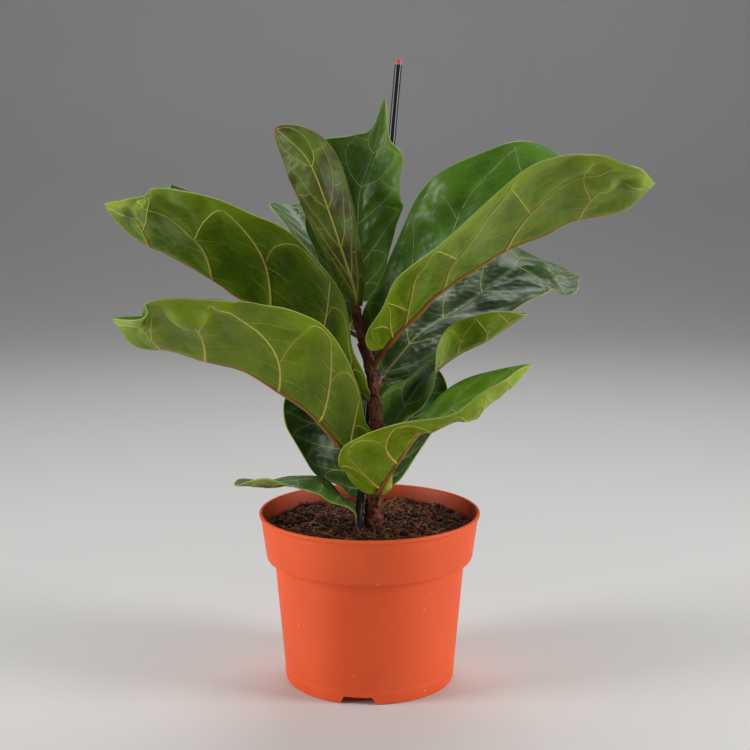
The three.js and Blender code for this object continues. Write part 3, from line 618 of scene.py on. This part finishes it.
# Each leaf is told by the height and the side at which its petiole leaves the stem, and by the spine that
# its midrib follows, counted from the peat. A half has a width, how steeply it turns up along its length
# (lift at the midrib, curl further out, in degrees), and how its outline differs at lobe, waist and point.
# A dent is a half, its place as two shares, its size and its height. Tone runs from dark 0 to bright 1.
leaves = [
    dict(name="leaf_bottom_left", node=6, petiole=6, side=(-1, 0.5), tone=0.25,
         spine=[(-7, -4, 9), (-19, -11, 22), (-33, -21, 30), (-51, -31, 30), (-70, -38, 32)],
         right=dict(width=23, lift=[25, 25, 0, -10, -5, 5], lobe=0.6, waist=1.1),
         left=dict(width=26, lift=[-20, -25, -25, 0, 20, 45], point=0.6)),
    dict(name="leaf_low_left_back", node=12, petiole=9, side=(-0.6, 1), up=(0, -1, 0.5), tone=0.1,
         spine=[(-6, 6, 23), (-14, 14, 38), (-26, 20, 66), (-32, 21, 83)],
         right=dict(width=26, lift=[10], lobe=0.6),
         left=dict(width=30, lift=[10, 10, 30, 35, 35, 20], lobe=0.65, waist=1.1)),
    dict(name="leaf_low_right", node=15, petiole=12, side=(0.3, -1), tone=1.0,
         spine=[(5, -20, 24), (17, -27, 46), (28, -28, 59), (50, -30, 75), (75, -34, 88), (83, -36, 95)],
         right=dict(width=36, lift=[58, 66, -10, -60, -60, -45], curl=[0, 10, 70, 120, 130, 100],
                    lobe=1.45, waist=1.15, back=1.6),
         left=dict(width=24, lift=[20, 20, 15, 20, 15, 15])),
    dict(name="leaf_low_right_back", node=19, petiole=9, side=(1, 1), up=(0, -1, 0.5), tone=0.1,
         spine=[(9, 3, 25), (17, 16, 39), (28, 30, 66), (33, 36, 84)],
         right=dict(width=20, lift=[40]), left=dict(width=22, lift=[10], lobe=0.7)),
    dict(name="leaf_lower_left", node=33, petiole=7, side=(-1, -1), tone=0.72,
         spine=[(-5, -13, 37), (-29, -24, 66), (-59, -36, 89), (-96, -42, 102), (-119, -43, 107),
                (-129, -42, 120)],
         right=dict(width=48, lift=[60, 60, 52, 40, 28, 25], lobe=0.7, point=1.1),
         left=dict(width=54, lift=[70, 70, 66, 50, 40, 30], lobe=0.7, point=1.3, wave=2,
                   veins=[(0.07, 0.13, 0.95, 0.6), (0.22, 0.17, 0.95, 0.6), (0.40, 0.29, 0.88, 0.4),
                          (0.66, 0.11, 0.80, 0.6), (0.80, 0.10, 0.70, 0.5)]),
         dents=[("left", 0.75, 0.75, 7.5, -7), ("left", 0.62, 0.88, 6, 2.5), ("left", 0.86, 0.6, 6, -3),
                ("left", 0.5, 0.85, 7, -2)]),
    dict(name="leaf_right_middle", node=45, petiole=6, side=(1, 0.2), tone=0.6,
         spine=[(9, -6, 49), (22, 3, 70), (40, 4, 89), (62, 0, 102), (84, -5, 117)],
         right=dict(width=20, lift=[0, -28, -10, 60, 60, 50], lobe=0.6),
         left=dict(width=28, lift=[30, 20, 10, 10, 10, 10], waist=1.15)),
    dict(name="leaf_upper_left", node=71, petiole=8, side=(-1, -0.5), tone=0.4,
         spine=[(-6, -8, 76), (-35, -14, 104), (-68, -18, 129), (-103, -22, 150), (-125, -22, 162),
                (-135, -21, 176)],
         right=dict(width=54, lift=[45, 45, 42, 38, 40, 60], lobe=0.5, point=1.2),
         left=dict(width=56, lift=[30, 80, 75, 50, 45, 45], lobe=0.6, point=1.25,
                   veins=[(0.04, 0.06, 0.85, 0.6), (0.19, 0.11, 0.95, 0.6), (0.37, 0.26, 0.85, 0.6),
                          (0.58, 0.35, 0.88, 0.5), (0.80, 0.12, 0.60, 0.5)]),
         dents=[("left", 0.87, 0.62, 8, -3), ("left", 0.76, 0.86, 6, -2.5), ("left", 0.94, 0.4, 5, -1.5)]),
    dict(name="leaf_right_back", node=77, petiole=8, side=(1, 0.5), tone=0.1,
         spine=[(9, 6, 83), (29, 25, 102), (57, 41, 118), (88, 52, 137), (104, 57, 133), (120, 59, 130)],
         right=dict(width=35, lift=[0, -8, -12, -30, -50, -30], curl=[0, 0, 0, 30, 50, 35], point=1.7),
         left=dict(width=35, lift=[50, 35, 25, 22, 16, 7])),
    dict(name="leaf_upper_right", node=87, petiole=16, side=(1, -0.4), tone=0.66,
         spine=[(8, -9, 99), (34, -20, 128), (67, -31, 152), (105, -42, 169), (129, -46, 176),
                (141, -44, 187)],
         right=dict(width=54, lift=[32, 26, 19, 31, 43, 35], lobe=0.78, waist=1.22, point=1.4,
                    veins=[(0.03, 0.10, 0.80, 0.5), (0.09, 0.26, 0.88, 0.4), (0.26, 0.39, 0.95, 0.5),
                           (0.50, 0.40, 0.86, 0.5), (0.74, 0.16, 0.70, 0.5)]),
         left=dict(width=56, lift=[86, 77, 84, 73, 20, 29], lobe=0.93, waist=1.24, back=1.85,
                   veins=[(0.03, 0.12, 0.85, 0.5), (0.12, 0.18, 0.90, 0.5), (0.26, 0.36, 0.92, 0.58),
                          (0.55, 0.20, 0.85, 0.5), (0.74, 0.14, 0.75, 0.5)]),
         dents=[("right", 0.84, 0.6, 7, -5), ("right", 0.93, 0.5, 5, -4), ("right", 0.8, 0.85, 5, -3),
                ("left", 0.42, 0.78, 8, 3), ("left", 0.3, 0.6, 9, -3)]),
    dict(name="leaf_back_left", node=103, petiole=8, side=(-1, 1), tone=0.1,
         spine=[(-11, 8, 107), (-18, 28, 128), (-26, 46, 144), (-37, 64, 157), (-49, 84, 169)],
         right=dict(width=28, lift=[25], lobe=0.5), left=dict(width=28, lift=[38, 34, 28], lobe=0.7)),
    dict(name="leaf_top", node=118, petiole=8, side=(0, 1), up=(0, -1, 0.2), acumen=0.16, tone=0.55,
         veins=[(0.03, 0.14, 0.85, 0.5), (0.15, 0.26, 0.90, 0.5), (0.36, 0.28, 0.88, 0.5),
                (0.54, 0.24, 0.80, 0.5), (0.72, 0.16, 0.75, 0.5)],
         spine=[(-7, 9, 127), (-6, 11, 154), (-5, 12, 180), (3, 7, 204), (8, -1, 230)],
         right=dict(width=30, lift=[8, 16, 30, 44, 50, 50], waist=0.95, point=1.4, wave=2),
         left=dict(width=31, lift=[10, 10, 10, 5, 5, 20], waist=1.2, point=0.75)),
    dict(name="leaf_young", node=118, petiole=6, side=(0, -1), up=(0, 1, 0.2), tone=0.85,
         slot="young_leaf", rib=0.6,
         veins=[(0.03, 0.30, 0.80, 0.5), (0.14, 0.36, 0.85, 0.5), (0.30, 0.36, 0.85, 0.5),
                (0.50, 0.30, 0.80, 0.5), (0.72, 0.18, 0.70, 0.5)],
         spine=[(-7, -8, 126), (-14, -12, 150), (-22, -12, 174), (-32, -10, 198), (-49, -2, 214)],
         right=dict(width=15, lift=[40, 10, 15, 25, 15, 25]),
         left=dict(width=18, lift=[80, 40, 40, 45, 50, 45])),
]


def margin(half, acumen):
    """Share of length and share of half width at even steps round half a blade's outline."""
    lobe, back, waist, point = (half.get(k, 1.0) for k in ("lobe", "back", "waist", "point"))
    knots = outline.copy()
    knots[1] = (-0.03 * back, 0.2 * lobe)
    knots[2] = (0.02 - 0.05 * (back - 1), 0.42 * lobe)
    knots[3, 1] *= lobe * math.sqrt(waist)
    knots[4:6, 1] *= waist
    knots[9:11, 1] *= point
    knots[:-1, 0] *= 1 - acumen
    curve = course(np.column_stack([knots[:, 0], knots[:, 1] * squash_across, 0 * knots[:, 0]]))
    edge = at(curve, fine * curve[1][-1])
    return edge[:, 0], edge[:, 1] / squash_across


def stationed(values, t):
    """Smooth value at share t of a list of evenly spaced values (uniform Catmull-Rom)."""
    v = np.asarray(values, float)
    if len(v) == 1:
        return np.full(np.shape(t), v[0])
    n = len(v) - 1
    x = np.clip(t, 0, 1) * n
    i = np.minimum(x.astype(int), n - 1)
    f = x - i
    v = np.concatenate([[2 * v[0] - v[1]], v, [2 * v[-1] - v[-2]]])
    p0, p1, p2, p3 = v[i], v[i + 1], v[i + 2], v[i + 3]
    return 0.5 * (2 * p1 + (p2 - p0) * f + (2 * p0 - 5 * p1 + 4 * p2 - p3) * f ** 2
                  + (3 * p1 - p0 - 3 * p2 + p3) * f ** 3)


def blade(leaf, half, u, w):
    """Half a blade as a surface of u, round the margin from base to tip, and w, from the midrib out.
    Each point leaves the midrib at share a of the length and goes out by its flat reach, turning up by
    the lift and further by the curl. Returns the points, a, and the reach in mm."""
    spec = leaf[half]
    edge_a, edge_b = (np.interp(u, fine, e) for e in leaf["edge"][half])
    core = u ** 1.15
    a = core + (edge_a - core) * w
    reach = edge_b * w * spec["width"]
    q = (np.arange(12) + 0.5).reshape(12, *([1] * np.ndim(a))) / 12
    soft = np.clip(reach * q / 4.5, 0, 1)
    soft = soft * soft * (3 - 2 * soft)
    angle = np.radians((stationed(spec["lift"], a) + stationed(spec.get("curl", [0]), a) * w * q) * soft)
    x, z = np.cos(angle).mean(0) * reach, np.sin(angle).mean(0) * reach
    swing = np.sin(2 * np.pi * (2.2 * a + 0.3)) * np.clip(3 * edge_b * w, 0, 1)
    z = z + spec.get("wave", 0) * w ** 2 * swing
    where = leaf["petiole"] + np.clip(a, 0, 1) * leaf["length"]
    along = heading(leaf["curve"], where)
    origin = at(leaf["curve"], where) + along * (np.minimum(a, 0) * leaf["length"])[..., None]
    side = unit(np.cross(along, leaf.get("up", (0, 0, 1))))
    normal = np.cross(side, along)
    return origin + side * (signs[half] * x)[..., None] + normal * z[..., None], a, reach


def laterals(leaf, half, seed):
    """The veins of half a blade as lines of (a, v), v being the share of the half width. Each lateral
    leaves the midrib and sweeps forward. Part of the way out it forks, and the branch bends back round
    the margin to meet the end of the lateral before it. Short thin spurs leave the laterals on both
    sides. Returns a list of (line, radius at its start, radius at its end)."""
    chance = np.random.default_rng(seed)
    plan = leaf[half].get("veins", leaf.get("veins", common_veins))
    main, loops, spurs = [], [], []
    for root, forward, out, _ in plan:
        knots = [(root, 0, 0), (root + 0.2 * forward, 0.32 * out, 0),
                 (root + 0.55 * forward, 0.68 * out, 0), (root + forward, out, 0)]
        main.append(course(knots, 9)[0][:, :2])
    meets = [np.array([max(0.0, plan[0][0] - 0.04), 0.7])] + [line[-1] for line in main]
    for line, before, (*_, fork) in zip(main, meets, plan):
        start = line[int(fork * (len(line) - 1))]
        top = 0.93 + chance.uniform(-0.03, 0.02)
        bend = start + (0, 0.6 * (top - start[1]))
        crown = (0.62 * start[0] + 0.38 * before[0], max(top, before[1]))
        loops.append(course([(*start, 0), (*bend, 0), (*crown, 0), (*before, 0)], 7)[0][:, :2])
    last = main[-1][-1]
    bend = (0.5 * last[0] + 0.5, min(0.9, last[1] + 0.08), 0)
    loops.append(course([(*last, 0), bend, (0.985, 0.45, 0)], 6)[0][:, :2])
    for k, line in enumerate(main):
        gap = plan[min(k + 1, len(plan) - 1)][0] - plan[max(k - 1, 0)][0]
        for side in (-1, 1):
            for share in np.arange(0.16, 0.92, 0.2) + chance.uniform(-0.08, 0.08):
                start = line[int(share * (len(line) - 1))]
                reach = side * gap * chance.uniform(0.08, 0.26)
                rise = chance.uniform(-0.01, 0.05) - 0.03 * side
                end = start + (reach, rise)
                if end[1] < 0.95 and 0.02 < end[0] < 0.97:
                    knots = [(*start, 0), (*(start + (0.5 * reach, 0.5 * rise + 0.008)), 0), (*end, 0)]
                    spurs.append(course(knots, 4)[0][:, :2])
    lines = [(line, 0.78 - 0.05 * k, 0.30) for k, line in enumerate(main)]
    return lines + [(line, 0.34, 0.22) for line in loops] + [(line, 0.15, 0.03) for line in spurs]


def placed(leaf, half, a, v):
    """The (u, w) of points given as share of length and share of half width: w is v, and u is where the
    line of constant w reaches that share of length."""
    edge_a, _ = leaf["edge"][half]
    core = fine ** 1.15
    shares = core + (edge_a - core) * v[:, None]
    k = np.clip((shares < a[:, None]).sum(1), 1, len(fine) - 1)
    rows = np.arange(len(a))
    low, high = shares[rows, k - 1], shares[rows, k]
    part = np.clip((a - low) / np.maximum(high - low, 1e-9), 0, 1)
    return fine[k - 1] + part * (fine[k] - fine[k - 1]), v


def away_from(points, line):
    """Distance of each flat point from a polyline."""
    best = np.full(points.shape[:-1], 1e9)
    for a, b in zip(line[:-1], line[1:]):
        d = b - a
        t = np.clip(((points - a) @ d) / max(d @ d, 1e-12), 0, 1)
        best = np.minimum(best, np.linalg.norm(points - a - t[..., None] * d, axis=-1))
    return best


def sampled(grid, row, column):
    """Value of a grid at fractional rows and columns, blended from the four points around."""
    i = np.clip(row.astype(int), 0, grid.shape[0] - 2)
    j = np.clip(column.astype(int), 0, grid.shape[1] - 2)
    f, g = (row - i)[:, None], (column - j)[:, None]
    return ((1 - f) * (1 - g) * grid[i, j] + f * (1 - g) * grid[i + 1, j]
            + (1 - f) * g * grid[i, j + 1] + f * g * grid[i + 1, j + 1])


def quilted(leaf, half, lines, u, w):
    """Half a blade as grids: its points, its flat layout in mm, the distance from the margin, the rise of
    the quilting and the dents, and how near the veins are."""
    sign, width = signs[half], leaf[half]["width"]
    sheet, a, reach = blade(leaf, half, u, w)
    flat = np.stack([a * leaf["length"], sign * reach], -1)
    span_a, span_b = leaf["edge"][half]
    edge = np.interp(u, fine, span_b) * width * (1 - w)

    def laid(a, v):
        return np.stack([a * leaf["length"], sign * v * (np.interp(a, span_a, span_b) * width)], -1)

    nearest = np.abs(flat[..., 1])
    for line, start, _ in lines:
        if start > 0.3:
            nearest = np.minimum(nearest, away_from(flat, laid(*line.T)) + (0.5 if start < 0.4 else 0))
    fade = np.clip(edge / 6, 0, 1) * np.clip(width / 40, 0.45, 1)
    rise = 1.7 * (1 - np.exp(-(nearest / 8) ** 2)) * fade
    for side, at_a, at_v, size, height in leaf.get("dents", ()):
        if side == half:
            gap = flat - laid(at_a, at_v)
            rise = rise + height * np.exp(-((gap ** 2).sum(-1) / size ** 2) ** 1.7)
    return dict(sheet=sheet, flat=flat, edge=edge, rise=rise, vein=np.exp(-(nearest / 2.2) ** 2))


def layer(grid):
    """One layer's points: the rows between base and tip, then one point each for the base and the tip."""
    centre = grid.shape[1] // 2
    return np.vstack([grid[1:-1].reshape(-1, grid.shape[-1]), grid[:1, centre], grid[-1:, centre]])


def shell_faces(inner, columns):
    """Faces of a blade's two layers, which face apart, and of the band that joins their margins."""
    count = inner * columns + 2
    j = np.arange(columns - 1)
    final = (inner - 1) * columns + j
    faces = [grid_quads(inner, columns), np.stack([np.full(columns - 1, count - 2), j + 1, j], -1),
             np.stack([np.full(columns - 1, count - 1), final, final + 1], -1)]
    rim = np.concatenate([[count - 2], np.arange(inner) * columns, [count - 1],
                          np.arange(inner)[::-1] * columns + columns - 1])
    return faces + [f[:, ::-1] + count for f in faces] + [band(rim, count)]


def vein_tubes(leaf, lines, middle, normal):
    """The veins as thin tubes: path, radius, share of colour, material number and sides. Those below stand
    out and those above lie almost flush. The midrib runs on from the petiole."""
    rows, centre = middle.shape[0], middle.shape[1] // 2
    tubes = []
    for half, sign in signs.items():
        scale = min(1.0, leaf[half]["width"] / 42 + 0.15)
        for line, start_radius, end_radius in lines[half]:
            place_u, place_w = placed(leaf, half, line[:, 0], line[:, 1])
            row, column = place_u * (rows - 1), centre + sign * place_w * centre
            on, up = sampled(middle, row, column), sampled(normal, row, column)
            radius = np.linspace(start_radius, end_radius, len(line)) * scale
            share = np.clip(0.06 + line[:, 0] * 0.5 + line[:, 1] * 0.6, 0, 1)
            sides = 6 if start_radius > 0.2 else 4
            tubes.append((on - up * (thick / 2 + 0.1 * radius)[:, None], radius, share, 3, sides))
            thin = radius * (0.55 if start_radius > 0.3 else 0.6)
            tubes.append((on + up * (thick / 2 - 0.35 * thin)[:, None], thin, share, 4, 4))
    row, column = np.linspace(0, rows - 1, 90) * 0.985, np.full(90, float(centre))
    on, up = sampled(middle, row, column), sampled(normal, row, column)
    share = row / (rows - 1)
    scale = min(1.0, 0.55 + leaf["length"] / 350) * leaf.get("rib", 1.0)
    radius = scale * (1.75 - 1.35 * share ** 0.75)
    stalk = at(leaf["curve"], np.linspace(0, leaf["petiole"], 12))[:-1]
    n = len(stalk)
    path = np.vstack([stalk, on - up * (0.62 * radius)[:, None]])
    path[n:n + 4] = 0.5 * path[n:n + 4] + 0.5 * (path[n - 1:n + 3] + path[n + 1:n + 5]) / 2
    full = np.concatenate([np.full(n, scale * 1.75), radius])
    full[:4] *= (1.3, 1.18, 1.08, 1.02)
    tubes.append((path, full, np.concatenate([np.linspace(-0.14, -0.02, n), share]), 2, 12))
    tubes.append((on + up * (thick / 2 - 0.1), 0.33 * radius, share, 4, 5))
    return tubes


def leaf_skin(name, dark, light, vein, rim, roughness, coat, mottle, glow, edge_glow):
    """A leaf surface: its green follows the leaf's tone, lightens along veins and in a fine net between
    them, takes a painted glow towards the margin, and ends in a thin pale margin."""
    material, tree, main = shader(name)
    flat = add(tree, "UVMap", _uv_map="flat").outputs[0]
    tint = mixed(tree, attribute(tree, "tone"), dark, light)
    cloud = noise(tree, flat, 0.55, 4, 0.6)
    tint = mixed(tree, spread(tree, cloud, 0.42, 0.62, 0, mottle), tint, tuple(0.55 * c for c in dark))
    net = add(tree, "TexVoronoi", _feature="DISTANCE_TO_EDGE", Vector=flat, Scale=2.3, Randomness=0.9)
    lines = spread(tree, net.outputs["Distance"], 0.0, 0.09, 1, 0)
    # Painted glow: light shining through the thin blade is painted as a lighter band within 13 mm of the
    # margin.
    glow_mask = spread(tree, attribute(tree, "edge"), 1.5, 13.0, edge_glow, 0)
    tint = mixed(tree, glow_mask, tint, tuple(1.2 * c for c in light))
    tint = mixed(tree, times(tree, lines, 0.10), tint, vein)
    tint = mixed(tree, times(tree, attribute(tree, "vein"), glow), tint, vein)
    tint = mixed(tree, spread(tree, attribute(tree, "edge"), 0.1, 0.55, 0.85, 0), tint, rim)
    spots = noise(tree, flat, 3.0, 5, 0.65)
    painted(tree, main, tint, spread(tree, spots, 0.3, 0.7, roughness - 0.07, roughness + 0.09), 0.24)
    for socket, value in (("Coat Weight", coat), ("Coat Roughness", 0.22), ("Subsurface Weight", 0.3),
                          ("Subsurface Radius", (0.5, 1.0, 0.15)), ("Subsurface Scale", 0.0012)):
        main.inputs[socket].default_value = value
    rough = add(tree, "TexNoise", Vector=flat, Scale=14.0, Detail=3.0).outputs["Fac"]
    first = bumped(tree, main, lines, -0.35, 0.00025)
    bumped(tree, main, rough, 0.12, 0.0002, first)
    return material


def vein_skin(name, base, tip, roughness):
    """A vein or petiole: its colour runs from base to tip with a little mottling."""
    material, tree, main = shader(name)
    place = own_place(tree)
    along = attribute(tree, "along")
    tint = mixed(tree, along, base, tip)
    tint = mixed(tree, spread(tree, along, -0.05, 0.06, 1, 0), tint, (0.14, 0.032, 0.014))
    tint = mixed(tree, spread(tree, along, -0.12, -0.06, 0.8, 0), tint, (0.26, 0.20, 0.07))
    mottle = spread(tree, noise(tree, place, 350, 3), 0.4, 0.7, 0, 0.3)
    tint = mixed(tree, mottle, tint, tuple(0.6 * c for c in base))
    painted(tree, main, tint, roughness)
    main.inputs["Coat Weight"].default_value = 0.15
    bumped(tree, main, noise(tree, place, 900, 3), 0.2, 0.0003)
    return material


upper_skin = leaf_skin("leaf_upper_side", (0.014, 0.050, 0.010), (0.125, 0.300, 0.008), (0.28, 0.40, 0.10),
                       (0.34, 0.40, 0.11), 0.39, 0.13, 0.35, 0.20, 0.08)
lower_skin = leaf_skin("leaf_underside", (0.028, 0.080, 0.005), (0.195, 0.290, 0.004), (0.42, 0.44, 0.05),
                       (0.42, 0.42, 0.10), 0.45, 0.12, 0.32, 0.20, 0.5)
young_upper = leaf_skin("young_upper_side", (0.05, 0.09, 0.02), (0.10, 0.18, 0.02), (0.28, 0.30, 0.12),
                        (0.30, 0.14, 0.05), 0.42, 0.10, 0.5, 0.15, 0.1)
young_lower = leaf_skin("young_underside", (0.095, 0.060, 0.012), (0.100, 0.200, 0.010), (0.36, 0.36, 0.09),
                        (0.32, 0.12, 0.05), 0.48, 0.04, 0.9, 0.15, 0.1)
rib_skin = vein_skin("midrib_and_petiole", (0.34, 0.100, 0.018), (0.40, 0.29, 0.04), 0.48)
lower_vein = vein_skin("underside_vein", (0.52, 0.38, 0.06), (0.42, 0.46, 0.07), 0.5)
upper_vein = vein_skin("upper_side_vein", (0.50, 0.56, 0.24), (0.36, 0.48, 0.16), 0.45)

for number, leaf in enumerate(leaves):
    foot = stem_axis(soil_top + leaf["node"])
    foot = foot + unit(np.array([*leaf["side"], 0.0])) * (stem_radius(foot[2]) - 0.8)
    leaf["curve"] = course([foot] + [(x, y, soil_top + z) for x, y, z in leaf["spine"]])
    leaf["length"] = leaf["curve"][1][-1] - leaf["petiole"]
    leaf["edge"] = {half: margin(leaf[half], leaf.get("acumen", 0)) for half in signs}
    spacing = 0.75
    rows = int(leaf["length"] * 1.12 / spacing)
    half_columns = int(max(leaf["left"]["width"], leaf["right"]["width"]) / spacing)
    u, w = np.linspace(0, 1, rows)[:, None], np.linspace(0, 1, half_columns)[None, :]
    lines = {half: laterals(leaf, half, 100 * number + (7 if half == "left" else 3)) for half in signs}
    left, right = (quilted(leaf, half, lines[half], u, w) for half in signs)
    whole = {key: np.concatenate([left[key][:, ::-1], right[key][:, 1:]], 1) for key in left}
    middle = whole["sheet"]
    normal = np.cross(np.gradient(middle, axis=1), np.gradient(middle, axis=0))
    normal = normal / np.maximum(np.linalg.norm(normal, axis=-1, keepdims=True), 1e-9)
    normal[0], normal[-1] = normal[1].mean(0), normal[-2].mean(0)
    normal = unit(normal)
    crinkle = (0.07 * ripple(whole["flat"], 5, seed=60 + number)
               + 0.5 * ripple(whole["flat"], 26, seed=80 + number))
    middle = middle + normal * (whole["rise"] + crinkle * np.clip(whole["edge"] / 3, 0, 1))[..., None]

    points = [layer(middle + normal * (thick / 2)), layer(middle - normal * (thick / 2))]
    faces = shell_faces(rows - 2, middle.shape[1])
    one_side = sum(len(f) for f in faces[:3])
    numbers = np.repeat([0, 1, 0], [one_side, one_side, len(faces[-1])])
    grids = dict(edge=whole["edge"], vein=whole["vein"], along=whole["flat"][..., 0] / leaf["length"])
    values = {key: np.tile(layer(grid[..., None])[:, 0], 2) for key, grid in grids.items()}
    uv = np.tile(layer(whole["flat"]) / 10, (2, 1))
    for path, radius, share, skin, sides in vein_tubes(leaf, lines, middle, normal):
        tube, tube_faces = threads(path[None], radius[None], sides)
        faces += [f + len(uv) for f in tube_faces]
        points.append(tube)
        numbers = np.concatenate([numbers, np.full(sum(len(f) for f in tube_faces), skin)])
        for key, value in (("edge", np.full(len(tube), 5.0)), ("vein", np.zeros(len(tube))),
                           ("along", np.repeat(share, sides))):
            values[key] = np.concatenate([values[key], value])
        uv = np.vstack([uv, np.zeros((len(tube), 2))])
    values["tone"] = np.full(len(uv), leaf["tone"])
    young = leaf["name"] == "leaf_young"
    skins = [young_upper if young else upper_skin, young_lower if young else lower_skin,
             lower_vein if young else rib_skin, lower_vein, upper_vein]
    piece = new_piece("fig_" + leaf["name"], np.vstack(points), faces, skins, numbers, values, uv)
    stands_for(piece, leaf.get("slot", "leaf"), leaf["name"])

# ---- Stipules and end bud ----
# Each leaf leaves behind a papery brown scale that once wrapped its bud: thin, pointed, dry and curled at
# the edges. The live bud at the stem's tip is a slim closed cone of the same scales, greener at its foot;
# here its green and brown are mixed in random patches.
scale_skin, tree, main = shader("papery_scale")
place = own_place(tree)
veins = noise(tree, add(tree, "Mapping", Vector=place, Scale=(1, 1, 0.12)).outputs[0], 1400, 4)
tint = mixed(tree, spread(tree, veins, 0.35, 0.65), (0.06, 0.016, 0.009), (0.30, 0.095, 0.035))
painted(tree, main, tint, 0.7)
bumped(tree, main, veins, 0.5, 0.0003)
# Each scale: its height above the peat, its side in degrees, its length, and the half angle it wraps.
scales = {"stipule_low": (60, -80, 15, 60), "stipule_middle": (88, -150, 13, 55),
          "stipule_upper": (104, -125, 13, 55)}
rows, columns = 40, 31
for name, (z, turn, length, span) in scales.items():
    p, q = np.linspace(0, 1, rows)[:, None], np.linspace(-1, 1, columns)[None, :]
    width = span * (1 - p ** 1.6) + 3
    angle = np.radians(turn + width * q)
    height = soil_top + z + length * p * (1 - 0.05 * q ** 2) + 0 * q
    layers = []
    for thick in (0.0, 0.22):
        radius = (stem_radius(height) + 0.25 + thick + 0.9 * p ** 2 + 0.5 * q ** 4
                  + 0.18 * np.sin(9 * q + 4 * p) * p)
        layers.append(stem_axis(height) + polar(radius, angle, 0.0))
    points = np.stack(layers).reshape(-1, 3)
    piece = new_piece("papery_" + name, points, [closed_sheet(rows, columns)], [scale_skin])
    stands_for(piece, "stipule", name)

tip, up = stem_curve[0][-1], heading(stem_curve, np.array([stem_curve[1][-1]]))[0]
bud_curve = (np.array([tip - 0.6 * up, tip + 9.3 * up]), np.array([0, 9.9]))
share = np.linspace(0, 1, 60)
radius = 0.12 + 1.75 * (1 - share) ** 0.75 * (0.85 + 0.6 * share)
radius = radius[:, None] * (1 + 0.05 * np.cos(2 * (circle(36) + 5 * share[:, None])))
bud_skin, tree, main = shader("bud_scale")
place = own_place(tree)
share_brown = spread(tree, noise(tree, place, 300, 4), 0.4, 0.65)
tint = mixed(tree, share_brown, (0.22, 0.25, 0.06), (0.34, 0.15, 0.06))
painted(tree, main, tint, 0.5)
bumped(tree, main, noise(tree, place, 900, 3), 0.3, 0.0003)
points, faces = rod(bud_curve, share * 9.9, radius, 36)
stands_for(new_piece("end_bud_scales", points, faces, [bud_skin]), "stipule", "end_bud")

# ---- Floor, lights and camera ----
# A plain pale sweep, two tall soft boxes left and right of the front, a soft light overhead, and a long
# lens that looks slightly down on the pot.
sweep, tree, main = shader("pale_floor")
place = own_place(tree)
painted(tree, main, mixed(tree, noise(tree, place, 3, 3), (0.70, 0.69, 0.67), (0.75, 0.74, 0.72)), 0.8)
profile = softened([(-3000, 0), (2400, 0), (2400, 3400)], 1200, 24)
across = np.array([-4000.0, 4000.0])
points = np.stack(np.broadcast_arrays(across[None], profile[:, :1], profile[:, 1:]), -1).reshape(-1, 3)
new_piece("pale_sweep", points, [grid_quads(len(profile), 2)[:, ::-1]], [sweep])


def soft_box(name, place, target, size, power):
    """A rectangular light that faces a point. Places are in metres."""
    lamp = bpy.data.lights.new(name, "AREA")
    lamp.shape, lamp.size, lamp.size_y, lamp.energy = "RECTANGLE", *size, power
    light = bpy.data.objects.new(name, lamp)
    away = unit(np.array(place) - target)
    right = unit(np.cross((0, 0, 1), away))
    rows = np.column_stack([right, np.cross(away, right), away, place]).tolist()
    light.matrix_world = Matrix([*rows, [0, 0, 0, 1]])
    bpy.context.scene.collection.objects.link(light)


soft_box("left_box", (-1.0, -0.30, 0.45), (0, 0, 0.18), (0.4, 0.8), 9)
soft_box("right_box", (1.0, -0.30, 0.45), (0, 0, 0.18), (0.4, 0.8), 9)
soft_box("back_box", (0.1, 0.65, 1.1), (0, 0, 0.2), (0.8, 0.6), 5.5)
world = bpy.data.worlds.new("studio_air")
world.use_nodes = True
world.node_tree.nodes["Background"].inputs["Color"].default_value = (0.9, 0.93, 1.0, 1)
world.node_tree.nodes["Background"].inputs["Strength"].default_value = 0.14
bpy.context.scene.world = world
bpy.context.scene.view_settings.view_transform = "Standard"

camera = bpy.data.cameras.new("front_camera")
camera.lens, camera.sensor_width, camera.clip_end = 70.7, 36, 50
viewer = bpy.data.objects.new("front_camera", camera)
viewer.location = (0, -0.77785, 0.30432)
viewer.rotation_euler = (math.radians(80.065), 0, math.radians(-0.218))
bpy.context.scene.collection.objects.link(viewer)
bpy.context.scene.camera = viewer
